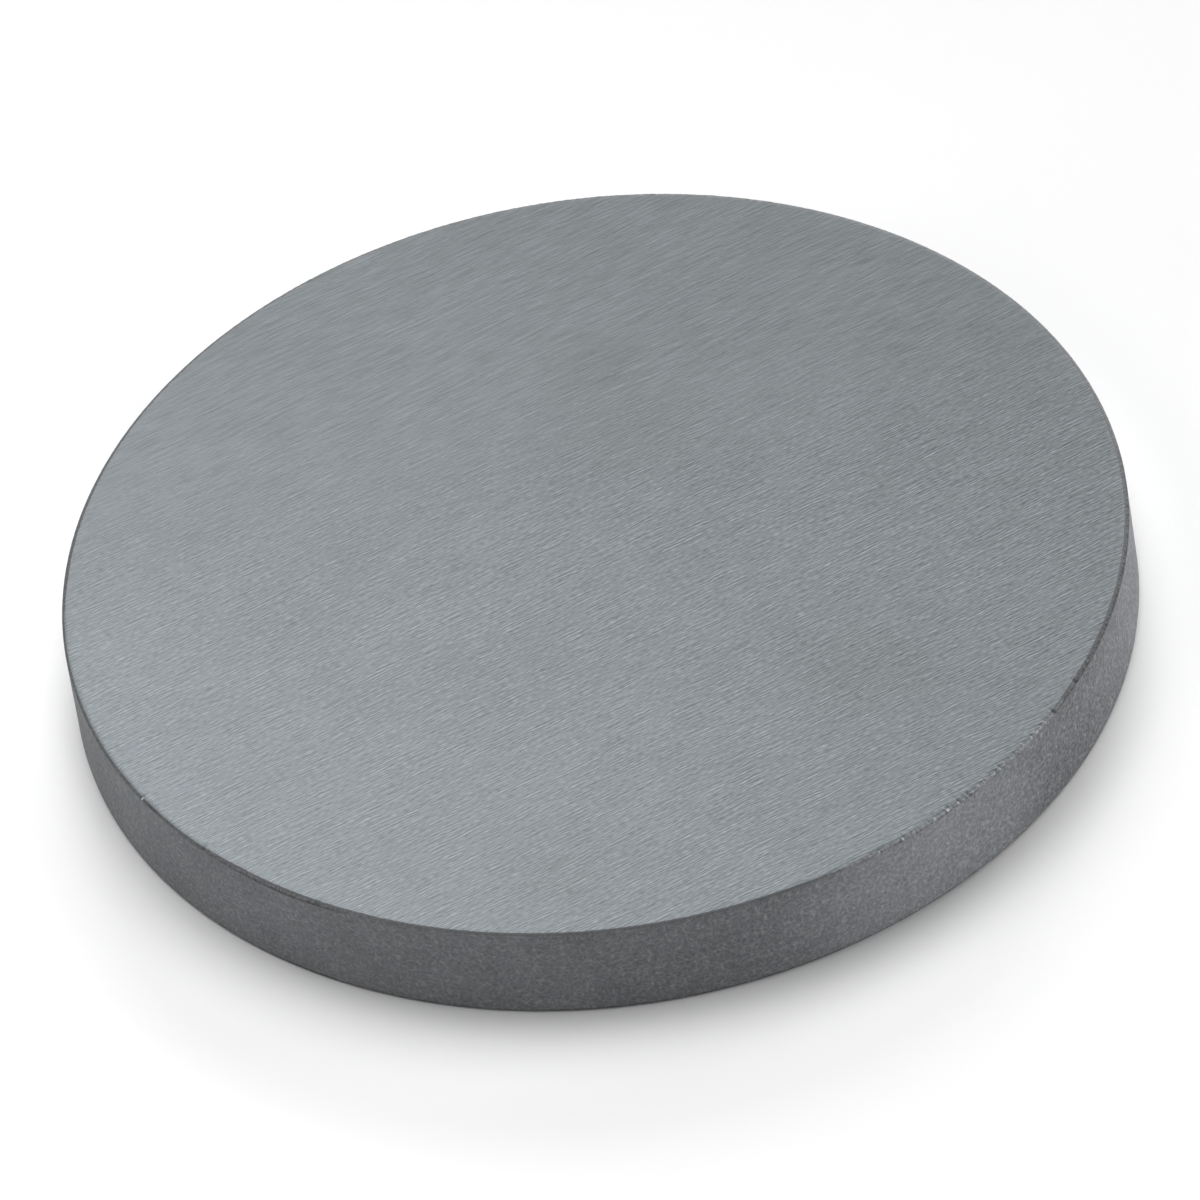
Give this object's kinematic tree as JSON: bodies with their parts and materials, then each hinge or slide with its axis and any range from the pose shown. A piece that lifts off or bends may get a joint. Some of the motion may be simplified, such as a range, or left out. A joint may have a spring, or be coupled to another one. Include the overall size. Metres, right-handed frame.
{
  "type": "sputtering target",
  "caption": "Flat round ceramic sputtering target disc, ground on both faces and the rim, with a small break on both edges.",
  "frame": {"origin": "middle of the back face, on the disc's axis; the disc lies flat on that face", "axes": "+Z along the disc's axis from the back face to the front face that is sputtered; +X along the grinding marks of the front face"},
  "size_m": [0.0508, 0.0508, 0.005],
  "materials": {
    "ground_ceramic": "cool mid grey sintered ceramic, faces ground with short straight marks all one way, rim ground matt and darker, edge breaks rough and dark"
  },
  "bodies": {
    "root": {"target_disc": "ground_ceramic"}
  },
  "joints": []
}
